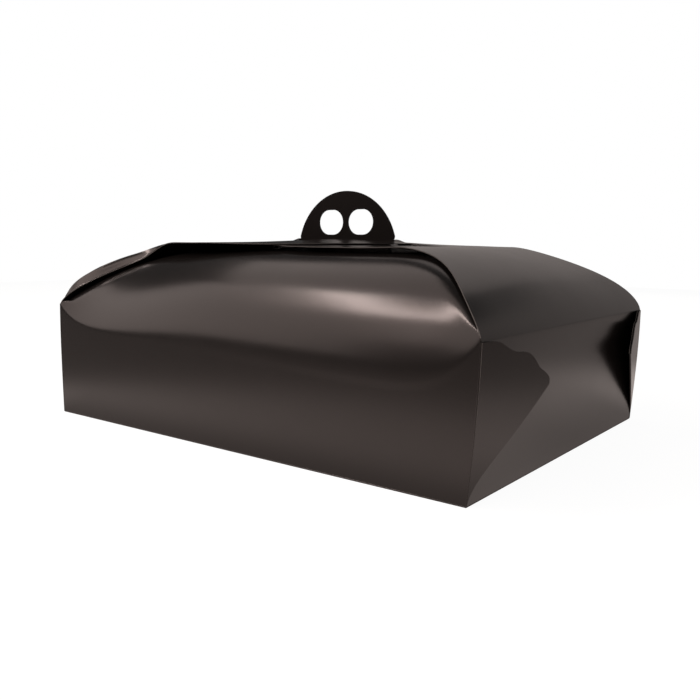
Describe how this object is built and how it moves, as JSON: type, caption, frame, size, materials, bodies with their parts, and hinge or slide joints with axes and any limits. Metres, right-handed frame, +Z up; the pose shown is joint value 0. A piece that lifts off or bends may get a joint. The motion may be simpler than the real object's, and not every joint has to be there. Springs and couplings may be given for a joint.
{
  "type": "cake box",
  "caption": "Closed card carry box for a cake, with interlocked lid flaps, folded corner gussets and a half-moon handle with finger holes.",
  "frame": {"origin": "centre of the base on the underside, where the box stands", "axes": "+Z up, +X along the long sides and the handle, +Y across the box"},
  "size_m": [0.3842, 0.2546, 0.1673],
  "materials": {
    "coated_card": "satin"
  },
  "bodies": {
    "root": {"folded_carton": "coated_card"}
  },
  "joints": []
}
